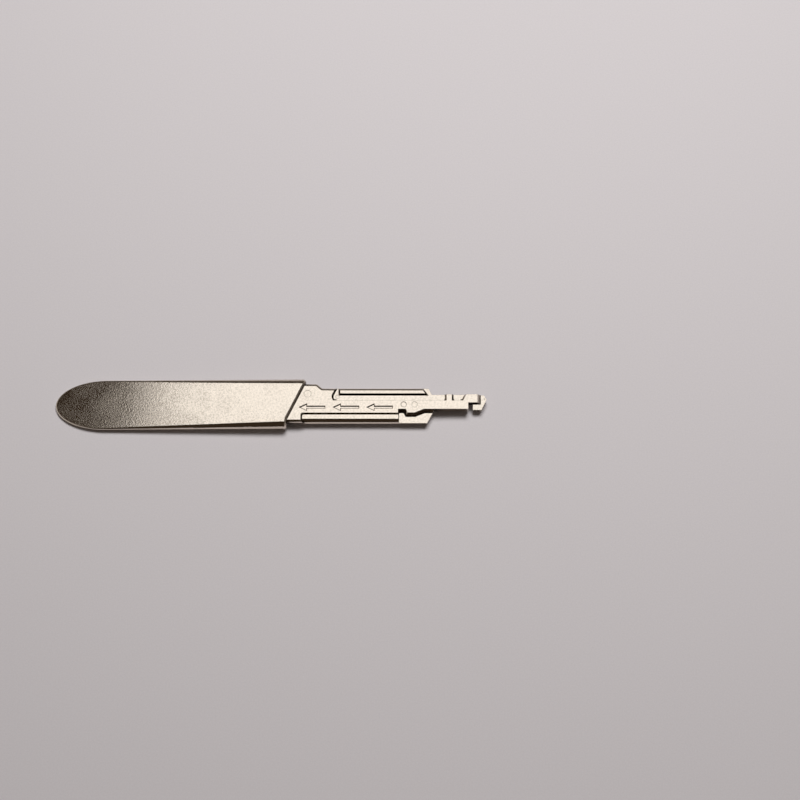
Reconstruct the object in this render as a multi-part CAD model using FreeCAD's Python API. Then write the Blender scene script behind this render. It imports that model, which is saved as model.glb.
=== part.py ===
import FreeCAD, Part
import math
import os
from FreeCAD import Vector

# Sizes are in millimetres. While it is built the handle points along +X with its
# tail end at x = 0, its centre line at y = 0 and its flat back at z = 0.

# Body, the thick wedge that the hand holds
body_width = 15.4
body_length = 76.3           # tail end to the far corner of the shoulder
tail_length = 15.1           # length of the half ellipse that rounds the tail
tail_thick = 1.1
shoulder_thick = 4.6
tail_round = 0.45            # rounding of the side edges at the tail
shoulder_side_round = 2.05   # the same rounding where it has grown to the shoulder
shoulder_straight = 2.2      # square stretch at the south end of the shoulder
shoulder_slant_ratio = 0.477 # how far the rest falls back for each unit across the body
shoulder_corner = 1.2        # plan radius of the shoulder's far corner
shoulder_bend_round = 1.5    # plan radius where the slant turns square
shoulder_round = 1.0         # rounding along the shoulder's edge

# Front plate, thinner than the body and midway in its thickness
plate_thick = 2.8
plate_north_inset = 3.0      # from the body's side in to the plate's
plate_south_inset = 1.7
plate_side_round = 0.85
plate_overlap = 2.8          # how far the plate runs on inside the body
head_inset = 1.6             # the wider stretch beside the shoulder comes nearer
head_length = 2.6
head_step_run = 1.6
head_step_round = 1.0

# Walls between the plate's levels lean out, by this much run for each unit of depth
wall_run = 0.85
steep_run = 0.25             # the steeper ones, at the foot and under the hook

# Rail and channel that guide the blade guard
channel_depth = 0.6
channel_south = 0.8
channel_bow_start = 2.7      # the bowed end's furthest corner, back from the rail
channel_bow_north = 2.2      # how far across that corner lies
channel_bow_south = 2.15     # where the bow meets the channel's south side, back from the rail
channel_bow_slant = 0.52
channel_bow_round = 2.0
rail_start = 9.6             # from the far corner of the shoulder
rail_length = 24.3
rail_width = 1.7
rail_end_slant = 1.3
rail_corner = 0.4            # plan radius at the rail's near inner corner

# Lower rail, a sunken strip along the south edge
strip_start = 2.2            # before the far corner of the shoulder
strip_end = 27.0             # after the far corner of the shoulder
strip_north = 3.05
strip_depth = 0.5
strip_round = 1.3
strip_corner = 0.8

# Foot, the lower ledge past the strip, and the lug above it
foot_drop = 1.2
foot_length = 8.7
foot_slant = 2.25
lug_reach = 3.0              # how far the lug stands out from the centre line
lug_start = 2.3
lug_near_slant = 0.6
lug_flat = 2.1
lug_far_slant = 2.8
land_length = 36.2           # far corner of the shoulder to the end of the guide's land
land_slant = 1.0

# Neck that carries the blade
neck_north = 2.75
neck_south = 1.85
neck_length = 16.5
rib_start = 4.4              # from where the neck begins
rib_width = 1.6
pocket_length = 3.35
pocket_slant = 1.05
seat_length = 5.6            # upper layer's end, back from the tip
hook_reach = 2.8             # upper layer's end over the tip ledge, back from the tip
hook_south = 0.15
slot_width = 1.4
tip_point_north = 1.4
tip_north_slant = 0.8
tip_south_slant = 1.6

# Lengths that follow from the sizes above
plate_low = (shoulder_thick - plate_thick) / 2
plate_top = plate_low + plate_thick
plate_north = body_width / 2 - plate_north_inset
plate_south = body_width / 2 - plate_south_inset
head_north = body_width / 2 - head_inset
channel_floor = plate_top - channel_depth
foot_top = plate_top - foot_drop
strip_top = plate_top - strip_depth
shoulder_near = body_length - shoulder_slant_ratio * (body_width - shoulder_straight)
rail_from = body_length + rail_start
rail_to = rail_from + rail_length
rail_south = plate_north - rail_width
strip_from = body_length - strip_start
foot_from = body_length + strip_end
foot_to = foot_from + foot_length
strip_to = foot_from + wall_run * foot_drop
land_to = body_length + land_length
neck_from = land_to + land_slant
rib_from = neck_from + rib_start
rib_to = rib_from + rib_width
tip_x = neck_from + neck_length
clear = 5.0                  # how far cutting shapes run past the metal
lift = 0.2                   # how far a shape with leaning walls stands above the face it cuts
near = 0.01                  # slack when an edge is picked by where it lies


def face_of(corners):
    return Part.Face(Part.makePolygon(corners + corners[:1]))


def prism(points, low, high):
    return face_of([Vector(x, y, low) for x, y in points]).extrude(Vector(0, 0, high - low))


def rising_edges(shape, x, y, z):
    point = Part.Vertex(x, y, z)
    return [edge for edge in shape.Edges
            if edge.BoundBox.ZLength > near and edge.distToShape(point)[0] < near]


def moved_out(points, moves):
    # Each side of a counter-clockwise outline moves out by its own distance
    sides = []
    for (x, y), (next_x, next_y) in zip(points, points[1:] + points[:1]):
        length = math.hypot(next_x - x, next_y - y)
        sides.append(((next_x - x) / length, (next_y - y) / length))
    moved = []
    for i, (x, y) in enumerate(points):
        in_x, in_y = sides[i - 1]
        out_x, out_y = sides[i]
        turn = in_x * out_y - in_y * out_x
        slide = (moves[i] * (in_x * out_x + in_y * out_y) - moves[i - 1]) / turn
        moved.append((x + out_y * moves[i] + out_x * slide, y - out_x * moves[i] + out_y * slide))
    return moved


def leaning(outline, runs, low, high):
    # A solid with this outline at the plate's top, whose sides spread by their runs as they rise
    rings = []
    for z in (low, high):
        moved = moved_out(outline, [run * (z - plate_top) for run in runs])
        rings.append([Vector(x, y, z) for x, y in moved])
    lower, upper = rings
    faces = [face_of(lower[::-1]), face_of(upper)]
    for i in range(len(outline)):
        faces.append(face_of([lower[i - 1], lower[i], upper[i], upper[i - 1]]))
    return Part.Solid(Part.makeShell(faces))


def body_thick_at(x):
    return tail_thick + (shoulder_thick - tail_thick) * x / body_length


def side_round_at(x):
    share = (x - tail_length) / (body_length - tail_length)
    return tail_round + (shoulder_side_round - tail_round) * share


def edges_where(shape, wanted):
    return [edge for edge in shape.Edges if wanted(edge, edge.BoundBox)]


def body_tail():
    half = body_width / 2
    outline = Part.Ellipse(Vector(tail_length, 0, 0), tail_length, half)
    bow = outline.toShape(math.pi / 2, 3 * math.pi / 2)
    chord = Part.makeLine(Vector(tail_length, -half, 0), Vector(tail_length, half, 0))
    plan = Part.Face(Part.Wire([bow, chord])).extrude(Vector(0, 0, shoulder_thick))
    side = [Vector(0, -half, 0), Vector(tail_length, -half, 0),
            Vector(tail_length, -half, body_thick_at(tail_length)), Vector(0, -half, tail_thick)]
    wedge = face_of(side).extrude(Vector(0, body_width, 0))
    blank = plan.common(wedge).Solids[0]
    rims = edges_where(blank, lambda edge, box: box.XMin < near)
    return blank.makeFillet(tail_round, rims)


def corner_arc(x, y, z, radius, start_angle):
    points = []
    for angle in (start_angle, start_angle + math.pi / 4, start_angle + math.pi / 2):
        points.append(Vector(x, y + radius * math.cos(angle), z + radius * math.sin(angle)))
    return Part.Arc(*points).toShape()


def section_arcs(x):
    radius = side_round_at(x)
    across = body_width / 2 - radius
    upper = body_thick_at(x) - radius
    return [corner_arc(x, across, radius, radius, -math.pi / 2),
            corner_arc(x, across, upper, radius, 0),
            corner_arc(x, -across, upper, radius, math.pi / 2),
            corner_arc(x, -across, radius, radius, math.pi)]


def arc_ends(arc):
    return [vertex.Point for vertex in arc.Vertexes]


def end_face(arcs):
    edges = []
    for arc, following in zip(arcs, arcs[1:] + arcs[:1]):
        edges += [arc, Part.makeLine(arc_ends(arc)[1], arc_ends(following)[0])]
    return Part.Face(Part.Wire(edges))


def body_front():
    near = section_arcs(tail_length)
    far = section_arcs(body_length + clear)
    faces = [end_face(near), end_face(far)]
    for side in range(len(near)):
        following = (side + 1) % len(near)
        flat = [arc_ends(near[side])[1], arc_ends(near[following])[0],
                arc_ends(far[following])[0], arc_ends(far[side])[1]]
        faces += [Part.makeRuledSurface(near[side], far[side]), face_of(flat)]
    return Part.Solid(Part.makeShell(faces))


def shoulder_plan():
    half = body_width / 2
    bend_y = shoulder_straight - half
    corners = [(-clear, -half - clear), (shoulder_near, -half - clear), (shoulder_near, bend_y),
               (body_length, half), (-clear, half)]
    plan = prism(corners, -clear, shoulder_thick + clear)
    plan = plan.makeFillet(shoulder_corner, rising_edges(plan, body_length, half, 0))
    return plan.makeFillet(shoulder_bend_round, rising_edges(plan, shoulder_near, bend_y, 0))


def body():
    whole = body_tail().fuse(body_front()).removeSplitter()
    cut = whole.common(shoulder_plan()).Solids[0]
    rims = edges_where(cut, lambda edge, box: box.XMin > shoulder_near - near and box.YLength > near)
    return cut.makeFillet(shoulder_round, rims)


def plate_blank():
    root = shoulder_near - plate_overlap
    head_to = body_length + head_length
    corners = [(root, head_north), (head_to, head_north), (head_to + head_step_run, plate_north),
               (land_to, plate_north), (neck_from, neck_north), (tip_x - tip_north_slant, neck_north),
               (tip_x, tip_point_north), (tip_x - tip_south_slant, -neck_south),
               (foot_to + foot_slant, -neck_south), (foot_to, -plate_south), (root, -plate_south)]
    blank = prism(corners, plate_low, plate_top)
    steps = rising_edges(blank, head_to, head_north, plate_low)
    steps += rising_edges(blank, head_to + head_step_run, plate_north, plate_low)
    blank = blank.makeFillet(head_step_round, steps)
    sides = edges_where(blank, lambda edge, box: box.ZLength < near
                        and (box.YMin > plate_north - near or box.YMax < near - plate_south))
    return blank.makeFillet(plate_side_round, sides)


def rail_island():
    far_x = rail_to + rail_end_slant
    high = plate_north + clear
    outline = [(rail_from, rail_south), (far_x, rail_south), (rail_to, plate_north), (rail_to, high),
               (rail_from, high)]
    island = leaning(outline, [-wall_run] * len(outline), channel_floor - lift, plate_top + 2 * lift)
    return island.makeFillet(rail_corner, rising_edges(island, rail_from, rail_south, plate_top))


def channel_cutter():
    bow_x = rail_from - channel_bow_start
    high = plate_north + clear
    high_x = bow_x + channel_bow_slant * (high - channel_bow_north)
    outline = [(rail_from - channel_bow_south, channel_south), (rib_from, channel_south), (rib_from, high),
               (high_x, high), (bow_x, channel_bow_north)]
    cutter = leaning(outline, [wall_run] * len(outline), channel_floor, plate_top + lift)
    bow = rising_edges(cutter, bow_x, channel_bow_north, plate_top)
    return cutter.makeFillet(channel_bow_round, bow).cut(rail_island())


def pocket_cutter():
    far_x = rib_to + pocket_length
    end_x = far_x + pocket_slant
    high = neck_north + clear
    outline = [(rib_to, channel_south), (far_x, channel_south), (end_x, neck_north), (end_x, high),
               (rib_to, high)]
    return leaning(outline, [wall_run] * len(outline), channel_floor, plate_top + lift)


def strip_profile():
    # Across the strip: flat, then rounded down to the side of the plate
    near_x = strip_from - lift
    low = strip_top - strip_round
    high = plate_top + clear
    turn = -plate_south + strip_round
    outer = -plate_south - clear
    arc = corner_arc(near_x, turn, low, strip_round, math.pi / 2)
    rest = [Vector(near_x, y, z) for y, z in
            [(-plate_south, low), (outer, low), (outer, high), (0, high), (0, strip_top),
             (turn, strip_top)]]
    profile = Part.Face(Part.Wire([arc] + Part.makePolygon(rest).Edges))
    return profile.extrude(Vector(strip_to - near_x, 0, 0))


def strip_cutter():
    outer = -plate_south - clear
    outline = [(strip_from, outer), (strip_to, outer), (strip_to, -strip_north), (strip_from, -strip_north)]
    walls = leaning(outline, [0, 0, wall_run, wall_run], plate_low, plate_top + lift)
    walls = walls.makeFillet(strip_corner, rising_edges(walls, strip_from, -strip_north, plate_top))
    return walls.common(strip_profile())


def foot_cutter():
    outer = -plate_south - clear
    far_x = foot_to + foot_slant + lift
    lug_from = foot_from + lug_start
    lug_near = lug_from + lug_near_slant
    lug_far = lug_near + lug_flat
    outline = [(foot_from, outer), (far_x, outer), (far_x, -neck_south),
               (lug_far + lug_far_slant, -neck_south), (lug_far, -lug_reach), (lug_near, -lug_reach),
               (lug_from, -neck_south), (foot_from, -neck_south)]
    runs = [0, 0, wall_run, wall_run, wall_run, wall_run, wall_run, steep_run]
    return leaning(outline, runs, foot_top, plate_top + lift)


def tip_cutter():
    hook_x = tip_x - hook_reach
    seat_x = tip_x - seat_length
    far_x = tip_x + clear
    outer = -neck_south - clear
    high = neck_north + clear
    outline = [(seat_x, outer), (far_x, outer), (far_x, high), (hook_x, high), (hook_x, hook_south),
               (seat_x, hook_south)]
    return leaning(outline, [0, 0, 0, wall_run, steep_run, 0], foot_top, plate_top + lift)


def slot_cutter():
    near_x = tip_x - seat_length
    far_x = near_x + slot_width
    corners = [(near_x, hook_south), (near_x, -neck_south - clear), (far_x, -neck_south - clear),
               (far_x, hook_south)]
    return prism(corners, -clear, plate_top + clear)


def plate():
    cutters = [channel_cutter(), pocket_cutter(), strip_cutter(), foot_cutter(), tip_cutter(), slot_cutter()]
    return plate_blank().cut(cutters)


def handle():
    whole = body().fuse(plate()).removeSplitter().Solids[0]
    whole.translate(Vector(-tip_x / 2, 0, 0))
    return whole


os.makedirs("parts", exist_ok=True)
scalpel_handle = handle()
scalpel_handle.exportStep("parts/scalpel_handle.step")
box = scalpel_handle.BoundBox
print("scalpel_handle", scalpel_handle.isValid(), "solids", len(scalpel_handle.Solids),
      "volume", round(scalpel_handle.Volume, 1), "size", round(box.XLength, 2), round(box.YLength, 2),
      round(box.ZLength, 2))
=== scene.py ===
import math

import bmesh
import bpy
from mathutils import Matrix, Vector


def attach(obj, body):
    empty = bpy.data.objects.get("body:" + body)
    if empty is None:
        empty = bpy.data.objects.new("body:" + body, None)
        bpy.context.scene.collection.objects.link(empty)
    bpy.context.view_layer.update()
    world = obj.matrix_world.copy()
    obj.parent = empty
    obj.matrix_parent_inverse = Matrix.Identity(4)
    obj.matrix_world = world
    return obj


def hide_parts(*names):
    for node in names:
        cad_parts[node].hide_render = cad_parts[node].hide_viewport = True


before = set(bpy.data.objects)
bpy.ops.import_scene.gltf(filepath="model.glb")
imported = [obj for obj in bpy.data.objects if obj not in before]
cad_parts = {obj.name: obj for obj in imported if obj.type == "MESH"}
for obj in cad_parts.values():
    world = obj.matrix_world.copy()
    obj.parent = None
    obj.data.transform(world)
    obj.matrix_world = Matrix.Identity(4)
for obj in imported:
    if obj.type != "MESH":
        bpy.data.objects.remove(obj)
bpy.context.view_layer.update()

print("frame loaded")

mm = 0.001

# The camera looks down on the handle, a little from the side of its lower edge
view = {
    "aim": (38.9 * mm, 1.34 * mm, 2.3 * mm),  # what sits in the middle of the picture
    "distance": 0.5,
    "tilt": 17.0,                             # degrees off straight down, towards -Y
    "seen": 241.0 * mm,                       # width of the picture at that distance
    "clip": (0.01, 20),
}


def addCamera():
    data = bpy.data.cameras.new("camera")
    camera = bpy.data.objects.new("camera", data)
    bpy.context.scene.collection.objects.link(camera)
    tilt = math.radians(view["tilt"])
    back = Vector((0, -math.sin(tilt), math.cos(tilt)))
    camera.location = Vector(view["aim"]) + back * view["distance"]
    camera.rotation_mode = "QUATERNION"
    camera.rotation_quaternion = (-back).to_track_quat("-Z", "Y")
    data.angle = 2 * math.atan(view["seen"] / 2 / view["distance"])
    data.clip_start, data.clip_end = view["clip"]
    bpy.context.scene.camera = camera


# Short ways to the nodes that every material here uses
def addNode(tree, kind, place, **settings):
    node = tree.nodes.new(kind)
    node.location = place
    for name, value in settings.items():
        setattr(node, name, value)
    return node


def mapRange(tree, place, source, fromRange, toRange=(0, 1)):
    node = addNode(tree, "ShaderNodeMapRange", place)
    node.inputs["From Min"].default_value, node.inputs["From Max"].default_value = fromRange
    node.inputs["To Min"].default_value, node.inputs["To Max"].default_value = toRange
    tree.links.new(source, node.inputs["Value"])
    return node.outputs["Result"]


def combine(tree, place, operation, first, second):
    node = addNode(tree, "ShaderNodeMath", place, operation=operation)
    tree.links.new(first, node.inputs[0])
    tree.links.new(second, node.inputs[1])
    return node.outputs[0]


def mixColor(tree, place, share, first, second):
    # Each color is a plain value or the output of another node
    shareSocket, firstSocket, secondSocket, result = 0, 6, 7, 2  # those of a Mix node set to color
    node = addNode(tree, "ShaderNodeMix", place, data_type="RGBA")
    tree.links.new(share, node.inputs[shareSocket])
    for socket, color in ((firstSocket, first), (secondSocket, second)):
        if isinstance(color, tuple):
            node.inputs[socket].default_value = color + (1,)
        else:
            tree.links.new(color, node.inputs[socket])
    return node.outputs[result]


def newMaterial(name):
    material = bpy.data.materials.new(name)
    material.use_nodes = True
    tree = material.node_tree
    return material, tree, tree.nodes["Principled BSDF"]


# Metal finish: a tumbled and polished casting, with painted shade on the walls of its recesses
finishAndPaintedShade = {
    "color": (0.74, 0.668, 0.582),
    "darkColor": (0.67, 0.60, 0.515),    # in the low spots of the grain
    "darkSpots": (0.3, 0.6),             # grain heights between which it turns to the first
    "wornColor": (0.86, 0.80, 0.72),     # where handling has polished the edges
    "wornTurn": (0.995, 0.85),           # cosine of the edge's turn where wear starts, is full
    "edgeRound": 0.09 * mm,              # how wide the tumbled edges read
    "edgeSamples": 6,
    "paintedShadeColor": (0.08, 0.06, 0.045),  # painted shade on the walls of recesses
    "paintedShadeReach": 4.0 * mm,
    "paintedShadeRange": (0.995, 0.97),        # open share where the painted shade starts and is full
    "paintedShadeSamples": 8,
    "wallSlope": (0.97, 0.85),           # upward part of the normal where a wall starts, is full
    "tailwardTurn": (-0.65, -0.35),      # lengthways part of the normal of a wall facing the tail
    "tailwardPaintedShade": 0.3,                # share of painted shade left there, painted lighter as if those walls caught more light
    "roughness": (0.095, 0.135),
    "glossClouds": (0.35, 0.65),         # cloud values between which the roughness changes
    "pitRoughness": 0.045,               # how much duller the low spots are
    "dullPits": (0.55, 0.35),            # grain heights where they start to dull and are full
    "grainSize": 0.48 * mm,
    "grainDepth": 0.010 * mm,
    "fineSize": 0.16 * mm,
    "fineDepth": 0.0015 * mm,
}

# Layers of the grain: the size that each goes by, its waves across that size, the noise's detail
grainLayers = {
    "Pits": ("Size", 1.0, 2.0),
    "Tooth": ("Fine Size", 1.0, 1.0),
    "Cloud": ("Size", 0.09, 3.0),
}


def castGrainGroup():
    group = bpy.data.node_groups.new("castGrain", "ShaderNodeTree")
    for name in ("Size", "Fine Size"):
        group.interface.new_socket(name=name, in_out="INPUT", socket_type="NodeSocketFloat")
    for name in grainLayers:
        group.interface.new_socket(name=name, in_out="OUTPUT", socket_type="NodeSocketFloat")
    enter = addNode(group, "NodeGroupInput", (-900, 0))
    leave = addNode(group, "NodeGroupOutput", (500, 0))
    place = addNode(group, "ShaderNodeTexCoord", (-900, -300))
    link = group.links.new
    for row, (name, (size, waves, detail)) in enumerate(grainLayers.items()):
        scale = addNode(group, "ShaderNodeMath", (-600, 200 - 250 * row), operation="DIVIDE")
        scale.inputs[0].default_value = waves
        link(enter.outputs[size], scale.inputs[1])
        noise = addNode(group, "ShaderNodeTexNoise", (-350, 200 - 250 * row))
        noise.inputs["Detail"].default_value = detail
        link(place.outputs["Object"], noise.inputs["Vector"])
        link(scale.outputs[0], noise.inputs["Scale"])
        link(noise.outputs["Fac"], leave.inputs[name])
    return group


def handleMetal():
    material, tree, metal = newMaterial("handleMetal")
    metal.inputs["Metallic"].default_value = 1.0
    link = tree.links.new
    grain = addNode(tree, "ShaderNodeGroup", (-1300, 0), node_tree=castGrainGroup())
    grain.inputs["Size"].default_value = finishAndPaintedShade["grainSize"]
    grain.inputs["Fine Size"].default_value = finishAndPaintedShade["fineSize"]
    edges = addNode(tree, "ShaderNodeBevel", (-1300, -500), samples=finishAndPaintedShade["edgeSamples"])
    edges.inputs["Radius"].default_value = finishAndPaintedShade["edgeRound"]
    face = addNode(tree, "ShaderNodeNewGeometry", (-1300, -700))

    # Darker in the low spots of the grain, paler on the worn edges
    height = mapRange(tree, (-1000, 300), grain.outputs["Pits"], finishAndPaintedShade["darkSpots"])
    color = mixColor(tree, (-750, 300), height, finishAndPaintedShade["darkColor"], finishAndPaintedShade["color"])
    turned = addNode(tree, "ShaderNodeVectorMath", (-1000, -600), operation="DOT_PRODUCT")
    link(edges.outputs["Normal"], turned.inputs[0])
    link(face.outputs["Normal"], turned.inputs[1])
    worn = mapRange(tree, (-750, -600), turned.outputs["Value"], finishAndPaintedShade["wornTurn"])
    color = mixColor(tree, (-500, 300), worn, color, finishAndPaintedShade["wornColor"])

    # Painted shade on the walls of the recesses, darkest where they are most enclosed
    occlusion = addNode(tree, "ShaderNodeAmbientOcclusion", (-1000, 600), only_local=True,
                     samples=finishAndPaintedShade["paintedShadeSamples"])
    occlusion.inputs["Distance"].default_value = finishAndPaintedShade["paintedShadeReach"]
    paintedShade = mapRange(tree, (-750, 600), occlusion.outputs["AO"], finishAndPaintedShade["paintedShadeRange"])
    facing = addNode(tree, "ShaderNodeSeparateXYZ", (-1000, 900))
    link(face.outputs["Normal"], facing.inputs[0])
    wall = mapRange(tree, (-750, 900), facing.outputs["Z"], finishAndPaintedShade["wallSlope"])
    # Less painted shade on walls that face the tail, as if they caught more light
    kept = mapRange(tree, (-750, 1200), facing.outputs["X"], finishAndPaintedShade["tailwardTurn"],
                    (finishAndPaintedShade["tailwardPaintedShade"], 1))
    onWalls = combine(tree, (-500, 900), "MULTIPLY", wall, kept)
    paintedShade = combine(tree, (-250, 700), "MULTIPLY", onWalls, paintedShade)
    color = mixColor(tree, (-250, 300), paintedShade, color, finishAndPaintedShade["paintedShadeColor"])
    link(color, metal.inputs["Base Color"])

    # Gloss that changes slowly over the handle and drops in the low spots
    gloss = mapRange(tree, (-750, 0), grain.outputs["Cloud"], finishAndPaintedShade["glossClouds"],
                     finishAndPaintedShade["roughness"])
    dull = mapRange(tree, (-750, -250), grain.outputs["Pits"], finishAndPaintedShade["dullPits"],
                    (0, finishAndPaintedShade["pitRoughness"]))
    link(combine(tree, (-500, 0), "ADD", gloss, dull), metal.inputs["Roughness"])

    # Relief of the grain, on edges that read as rounded
    normal = edges.outputs["Normal"]
    for column, (layer, depth) in enumerate((("Pits", "grainDepth"), ("Tooth", "fineDepth"))):
        relief = addNode(tree, "ShaderNodeBump", (-500 + 250 * column, -300))
        relief.inputs["Distance"].default_value = finishAndPaintedShade[depth]
        link(grain.outputs[layer], relief.inputs["Height"])
        link(normal, relief.inputs["Normal"])
        normal = relief.outputs["Normal"]
    link(normal, metal.inputs["Normal"])
    return material


# Handle: the solid's own surface with the fine marks carved into it. Sizes are in mm.
marks = {
    "arrowTips": (8.5, 18.65, 28.75),    # where each arrow points, along X
    "arrowAxis": -1.30,
    "arrowLength": 8.0,
    "headLength": 2.5,
    "headHalf": 1.18,
    "shaftHalf": 0.44,
    "arrowDepth": 0.32,
    "pins": (                            # ejector-pin rings and a pit: x, y, radius, depth, face
        (11.1, 2.9, 1.10, 0.06, "plateTop"),
        (20.1, 2.1, 0.60, 0.05, "channelFloor"),
        (40.0, -0.44, 0.87, 0.14, "plateTop"),
        (43.3, -0.44, 0.87, 0.06, "plateTop"),
        (64.3, 1.5, 0.24, 0.04, "tipLedge"),
    ),
    "ringSteps": 40,
    "leans": (0.85, 0.6),                # run for each mm down: wall that faces -Y, the others
    "crispSides": (                      # lower sides of the channel and of the neck's pocket
        (19.7, 0.8, 52.3, 1.45),         # x, y, far x, far y
        (55.1, 0.8, 57.2, 1.45),
    ),
    "crispDepth": 0.598,
    "crispLeans": (0.1, 0.1),
    "plateTop": 3.7,                     # heights of the faces
    "channelFloor": 3.1,
    "tipLedge": 2.5,
}

shading = {
    "sharpAngle": 30.0,   # degrees between faces that meet in a crisp edge
    "flatAngle": 0.001,   # radians below which neighbouring facets are one face
    "weldGap": 1e-7,
    "faceWeight": 100,    # how much the large faces lead the shading
}


def arrowOutline(tip):
    shaftFrom = tip + marks["headLength"]
    end = tip + marks["arrowLength"]
    y = marks["arrowAxis"]
    return [(tip, y), (shaftFrom, y - marks["headHalf"]), (shaftFrom, y - marks["shaftHalf"]),
            (end, y - marks["shaftHalf"]), (end, y + marks["shaftHalf"]),
            (shaftFrom, y + marks["shaftHalf"]), (shaftFrom, y + marks["headHalf"])]


def ringOutline(x, y, radius):
    steps = marks["ringSteps"]
    turns = [2 * math.pi * i / steps for i in range(steps)]
    return [(x + radius * math.cos(turn), y + radius * math.sin(turn)) for turn in turns]


def movedOut(outline, height, leans):
    # The outline at a height over the face: each side has moved out as far as its wall leans
    sides = []
    for here, after in zip(outline, outline[1:] + outline[:1]):
        sides.append((Vector(after) - Vector(here)).normalized())
    south, other = leans
    moves = [height * (other + (south - other) * max(0, -side.x)) for side in sides]
    moved = []
    for i, here in enumerate(outline):
        arrive, leave = sides[i - 1], sides[i]
        turn = arrive.x * leave.y - arrive.y * leave.x
        slide = (moves[i] * arrive.dot(leave) - moves[i - 1]) / turn
        moved.append((here[0] + leave.y * moves[i] + leave.x * slide,
                      here[1] - leave.x * moves[i] + leave.y * slide))
    return moved


def addGroove(mesh, outline, face, depth, leans):
    # A block with leaning walls, as far under the face as it stands over it
    rings = []
    for height in (-depth, depth):
        z = (marks[face] + height) * mm
        ring = movedOut(outline, height, leans)
        rings.append([mesh.verts.new((x * mm, y * mm, z)) for x, y in ring])
    lower, upper = rings
    mesh.faces.new(lower[::-1])
    mesh.faces.new(upper)
    for i in range(len(outline)):
        mesh.faces.new((lower[i - 1], lower[i], upper[i], upper[i - 1]))


def meshObject(name, mesh):
    data = bpy.data.meshes.new(name)
    mesh.to_mesh(data)
    mesh.free()
    item = bpy.data.objects.new(name, data)
    bpy.context.scene.collection.objects.link(item)
    return item


def applyModifiers(item):
    graph = bpy.context.evaluated_depsgraph_get()
    data = bpy.data.meshes.new_from_object(item.evaluated_get(graph))
    item.modifiers.clear()
    item.data = data


def solidSurface():
    # The CAD solid's surface, with its flat faces made whole again
    mesh = bmesh.new()
    mesh.from_mesh(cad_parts["scalpel_handle"].data)
    bmesh.ops.remove_doubles(mesh, verts=mesh.verts, dist=shading["weldGap"])
    bmesh.ops.dissolve_limit(mesh, angle_limit=shading["flatAngle"], verts=mesh.verts,
                             edges=mesh.edges)
    handle = meshObject("handleBody", mesh)
    for name in ("custom_normal", "sharp_edge", "sharp_face"):
        layer = handle.data.attributes.get(name)
        if layer:
            handle.data.attributes.remove(layer)
    return handle


def markCutter():
    mesh = bmesh.new()
    for tip in marks["arrowTips"]:
        addGroove(mesh, arrowOutline(tip), "plateTop", marks["arrowDepth"], marks["leans"])
    for x, y, radius, depth, face in marks["pins"]:
        addGroove(mesh, ringOutline(x, y, radius), face, depth, marks["leans"])
    for x, y, farX, farY in marks["crispSides"]:
        outline = [(x, y), (farX, y), (farX, farY), (x, farY)]
        addGroove(mesh, outline, "plateTop", marks["crispDepth"], marks["crispLeans"])
    return meshObject("markCutter", mesh)


def buildHandle():
    handle = solidSurface()
    cutter = markCutter()
    carve = handle.modifiers.new("marks", "BOOLEAN")
    carve.object = cutter
    carve.operation = "DIFFERENCE"
    carve.solver = "EXACT"
    applyModifiers(handle)
    bpy.data.objects.remove(cutter)
    print("marks carved")

    handle.data.materials.clear()
    handle.data.materials.append(handleMetal())
    for face in handle.data.polygons:
        face.material_index = 0
        face.use_smooth = True
    handle.data.set_sharp_from_angle(angle=math.radians(shading["sharpAngle"]))
    smooth = handle.modifiers.new("smooth", "WEIGHTED_NORMAL")
    smooth.weight = shading["faceWeight"]
    smooth.keep_sharp = True
    applyModifiers(handle)
    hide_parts("scalpel_handle")
    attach(handle, "root")


# Paper that the handle lies on
paper = {
    "color": (0.63, 0.595, 0.605),
    "fiber": (0.94, 1.06),      # how much darker and paler its fibers are
    "fiberScale": 2200,
    "roughness": 0.9,
    "specular": 0.2,
    "lift": 0.02,               # glow near the handle
    "far": (0.35, 1.5, 0.50),   # from this far out to this far, it rises to this glow
    "halfSize": 8,
}


def seenRays(tree):
    # Camera, glossy and transmission rays, so that the metal shows the background too
    path = addNode(tree, "ShaderNodeLightPath", (-900, -900))
    direct = combine(tree, (-700, -900), "MAXIMUM", path.outputs["Is Camera Ray"],
                     path.outputs["Is Glossy Ray"])
    return combine(tree, (-500, -900), "MAXIMUM", direct, path.outputs["Is Transmission Ray"])


def paperMaterial():
    material, tree, sheet = newMaterial("paper")
    link = tree.links.new
    sheet.inputs["Roughness"].default_value = paper["roughness"]
    sheet.inputs["Specular IOR Level"].default_value = paper["specular"]
    place = addNode(tree, "ShaderNodeTexCoord", (-900, 0))
    fibers = addNode(tree, "ShaderNodeTexNoise", (-700, 0))
    fibers.inputs["Scale"].default_value = paper["fiberScale"]
    link(place.outputs["Object"], fibers.inputs["Vector"])
    dark, pale = (tuple(share * c for c in paper["color"]) for share in paper["fiber"])
    color = mixColor(tree, (-300, 100), fibers.outputs["Fac"], dark, pale)
    link(color, sheet.inputs["Base Color"])
    link(color, sheet.inputs["Emission Color"])

    near, far, glow = paper["far"]
    out = addNode(tree, "ShaderNodeVectorMath", (-700, -300), operation="LENGTH")
    link(place.outputs["Object"], out.inputs[0])
    lift = mapRange(tree, (-500, -300), out.outputs["Value"], (near, far), (paper["lift"], glow))
    link(combine(tree, (-250, -300), "MULTIPLY", lift, seenRays(tree)),
         sheet.inputs["Emission Strength"])
    return material


def addFloor():
    mesh = bmesh.new()
    bmesh.ops.create_grid(mesh, x_segments=1, y_segments=1, size=paper["halfSize"])
    floor = meshObject("paperFloor", mesh)
    floor.data.materials.append(paperMaterial())


# Both lamps point at the middle of the handle
lamps = {
    "softbox": {                # the one that shows in the metal
        "place": (0.07, 0.277, 0.878),
        "size": (0.650, 0.29),
        "power": 0.76,
        "inMetal": True,
    },
    "paperLamp": {              # lights the paper and lays the shadow
        "place": (0.12, 0.355, 0.66),
        "size": (0.40, 0.25),
        "power": 5.1,
        "inMetal": False,
    },
}

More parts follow.
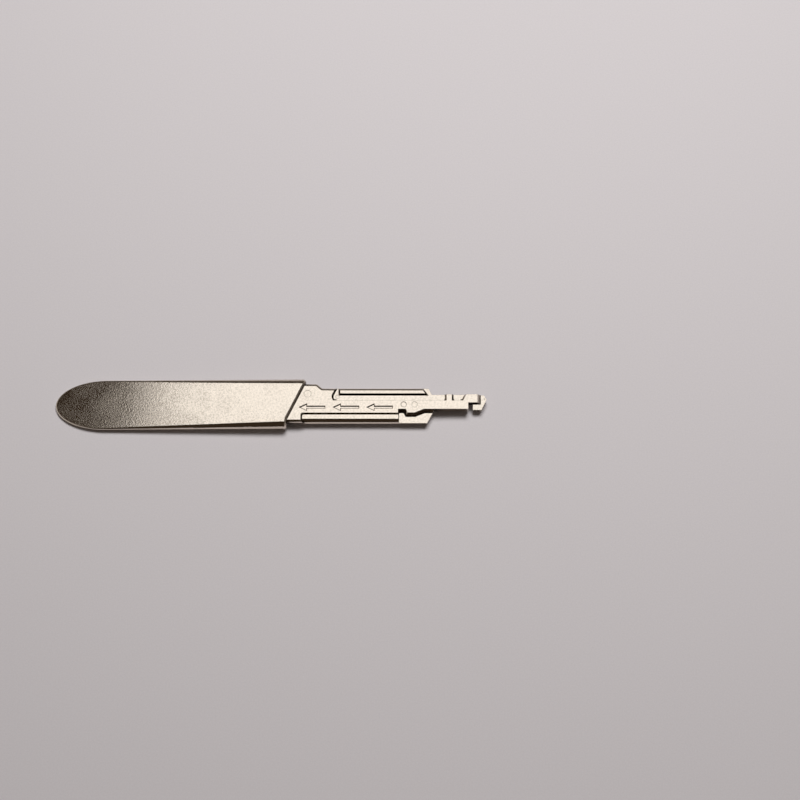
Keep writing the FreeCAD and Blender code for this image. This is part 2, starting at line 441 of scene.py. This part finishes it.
# A dark room with pale low walls, by directions from the handle
room = {
    "dark": (0.037, 0.025, 0.016),
    "pale": (0.45, 0.42, 0.39),
    "wallTop": (0.68, 0.85),         # heights between which the pale walls fade out
    "front": (-0.95, -0.70),         # no pale wall straight in front, -Y
    "rear": ((0.55, 0.85), 0.1),     # where they dim towards the rear, +Y, and what is left
    "rearFoot": ((0.32, 0.46), 0.3), # glow at their foot there, up to these heights
    "right": ((0.55, 0.85), 0.35),   # where they dim towards the blade end, +X, and what is left
}


def addLamp(name, lamp):
    data = bpy.data.lights.new(name, "AREA")
    data.shape = "RECTANGLE"
    data.size, data.size_y = lamp["size"]
    data.energy = lamp["power"]
    item = bpy.data.objects.new(name, data)
    bpy.context.scene.collection.objects.link(item)
    item.location = lamp["place"]
    item.rotation_mode = "QUATERNION"
    item.rotation_quaternion = (-Vector(lamp["place"])).to_track_quat("-Z", "Y")
    item.visible_glossy = lamp["inMetal"]


def roomWorld():
    world = bpy.data.worlds.new("room")
    world.use_nodes = True
    tree = world.node_tree
    link = tree.links.new
    place = addNode(tree, "ShaderNodeTexCoord", (-1500, 0))
    height = addNode(tree, "ShaderNodeSeparateXYZ", (-900, 200))
    link(place.outputs["Generated"], height.inputs[0])
    flat = addNode(tree, "ShaderNodeVectorMath", (-1300, -300), operation="MULTIPLY")
    flat.inputs[1].default_value = (1, 1, 0)
    link(place.outputs["Generated"], flat.inputs[0])
    bearing = addNode(tree, "ShaderNodeVectorMath", (-1100, -300), operation="NORMALIZE")
    link(flat.outputs[0], bearing.inputs[0])
    way = addNode(tree, "ShaderNodeSeparateXYZ", (-900, -300))
    link(bearing.outputs[0], way.inputs[0])

    rearRange, rearShare = room["rear"]
    footRange, footGlow = room["rearFoot"]
    rightRange, rightShare = room["right"]
    low = mapRange(tree, (-700, 200), height.outputs["Z"], room["wallTop"], (1, 0))
    front = mapRange(tree, (-700, 0), way.outputs["Y"], room["front"])
    rear = mapRange(tree, (-700, -200), way.outputs["Y"], rearRange, (1, rearShare))
    foot = mapRange(tree, (-700, -400), height.outputs["Z"], footRange, (footGlow, 0))
    right = mapRange(tree, (-700, -600), way.outputs["X"], rightRange, (1, rightShare))
    rear = combine(tree, (-500, -200), "MAXIMUM", rear, foot)
    walls = combine(tree, (-400, 0), "MULTIPLY", front, rear)
    walls = combine(tree, (-300, 0), "MULTIPLY", walls, right)
    walls = combine(tree, (-200, 0), "MULTIPLY", low, walls)
    share = combine(tree, (-100, 0), "MULTIPLY", walls, seenRays(tree))
    color = mixColor(tree, (0, 0), share, room["dark"], room["pale"])
    link(color, tree.nodes["Background"].inputs["Color"])
    bpy.context.scene.world = world


addCamera()
print("camera set")
buildHandle()
print("handle built")
addFloor()
print("paper laid")
for name, lamp in lamps.items():
    addLamp(name, lamp)
roomWorld()
print("lamps and room set")

bpy.context.scene.view_settings.view_transform = "Standard"
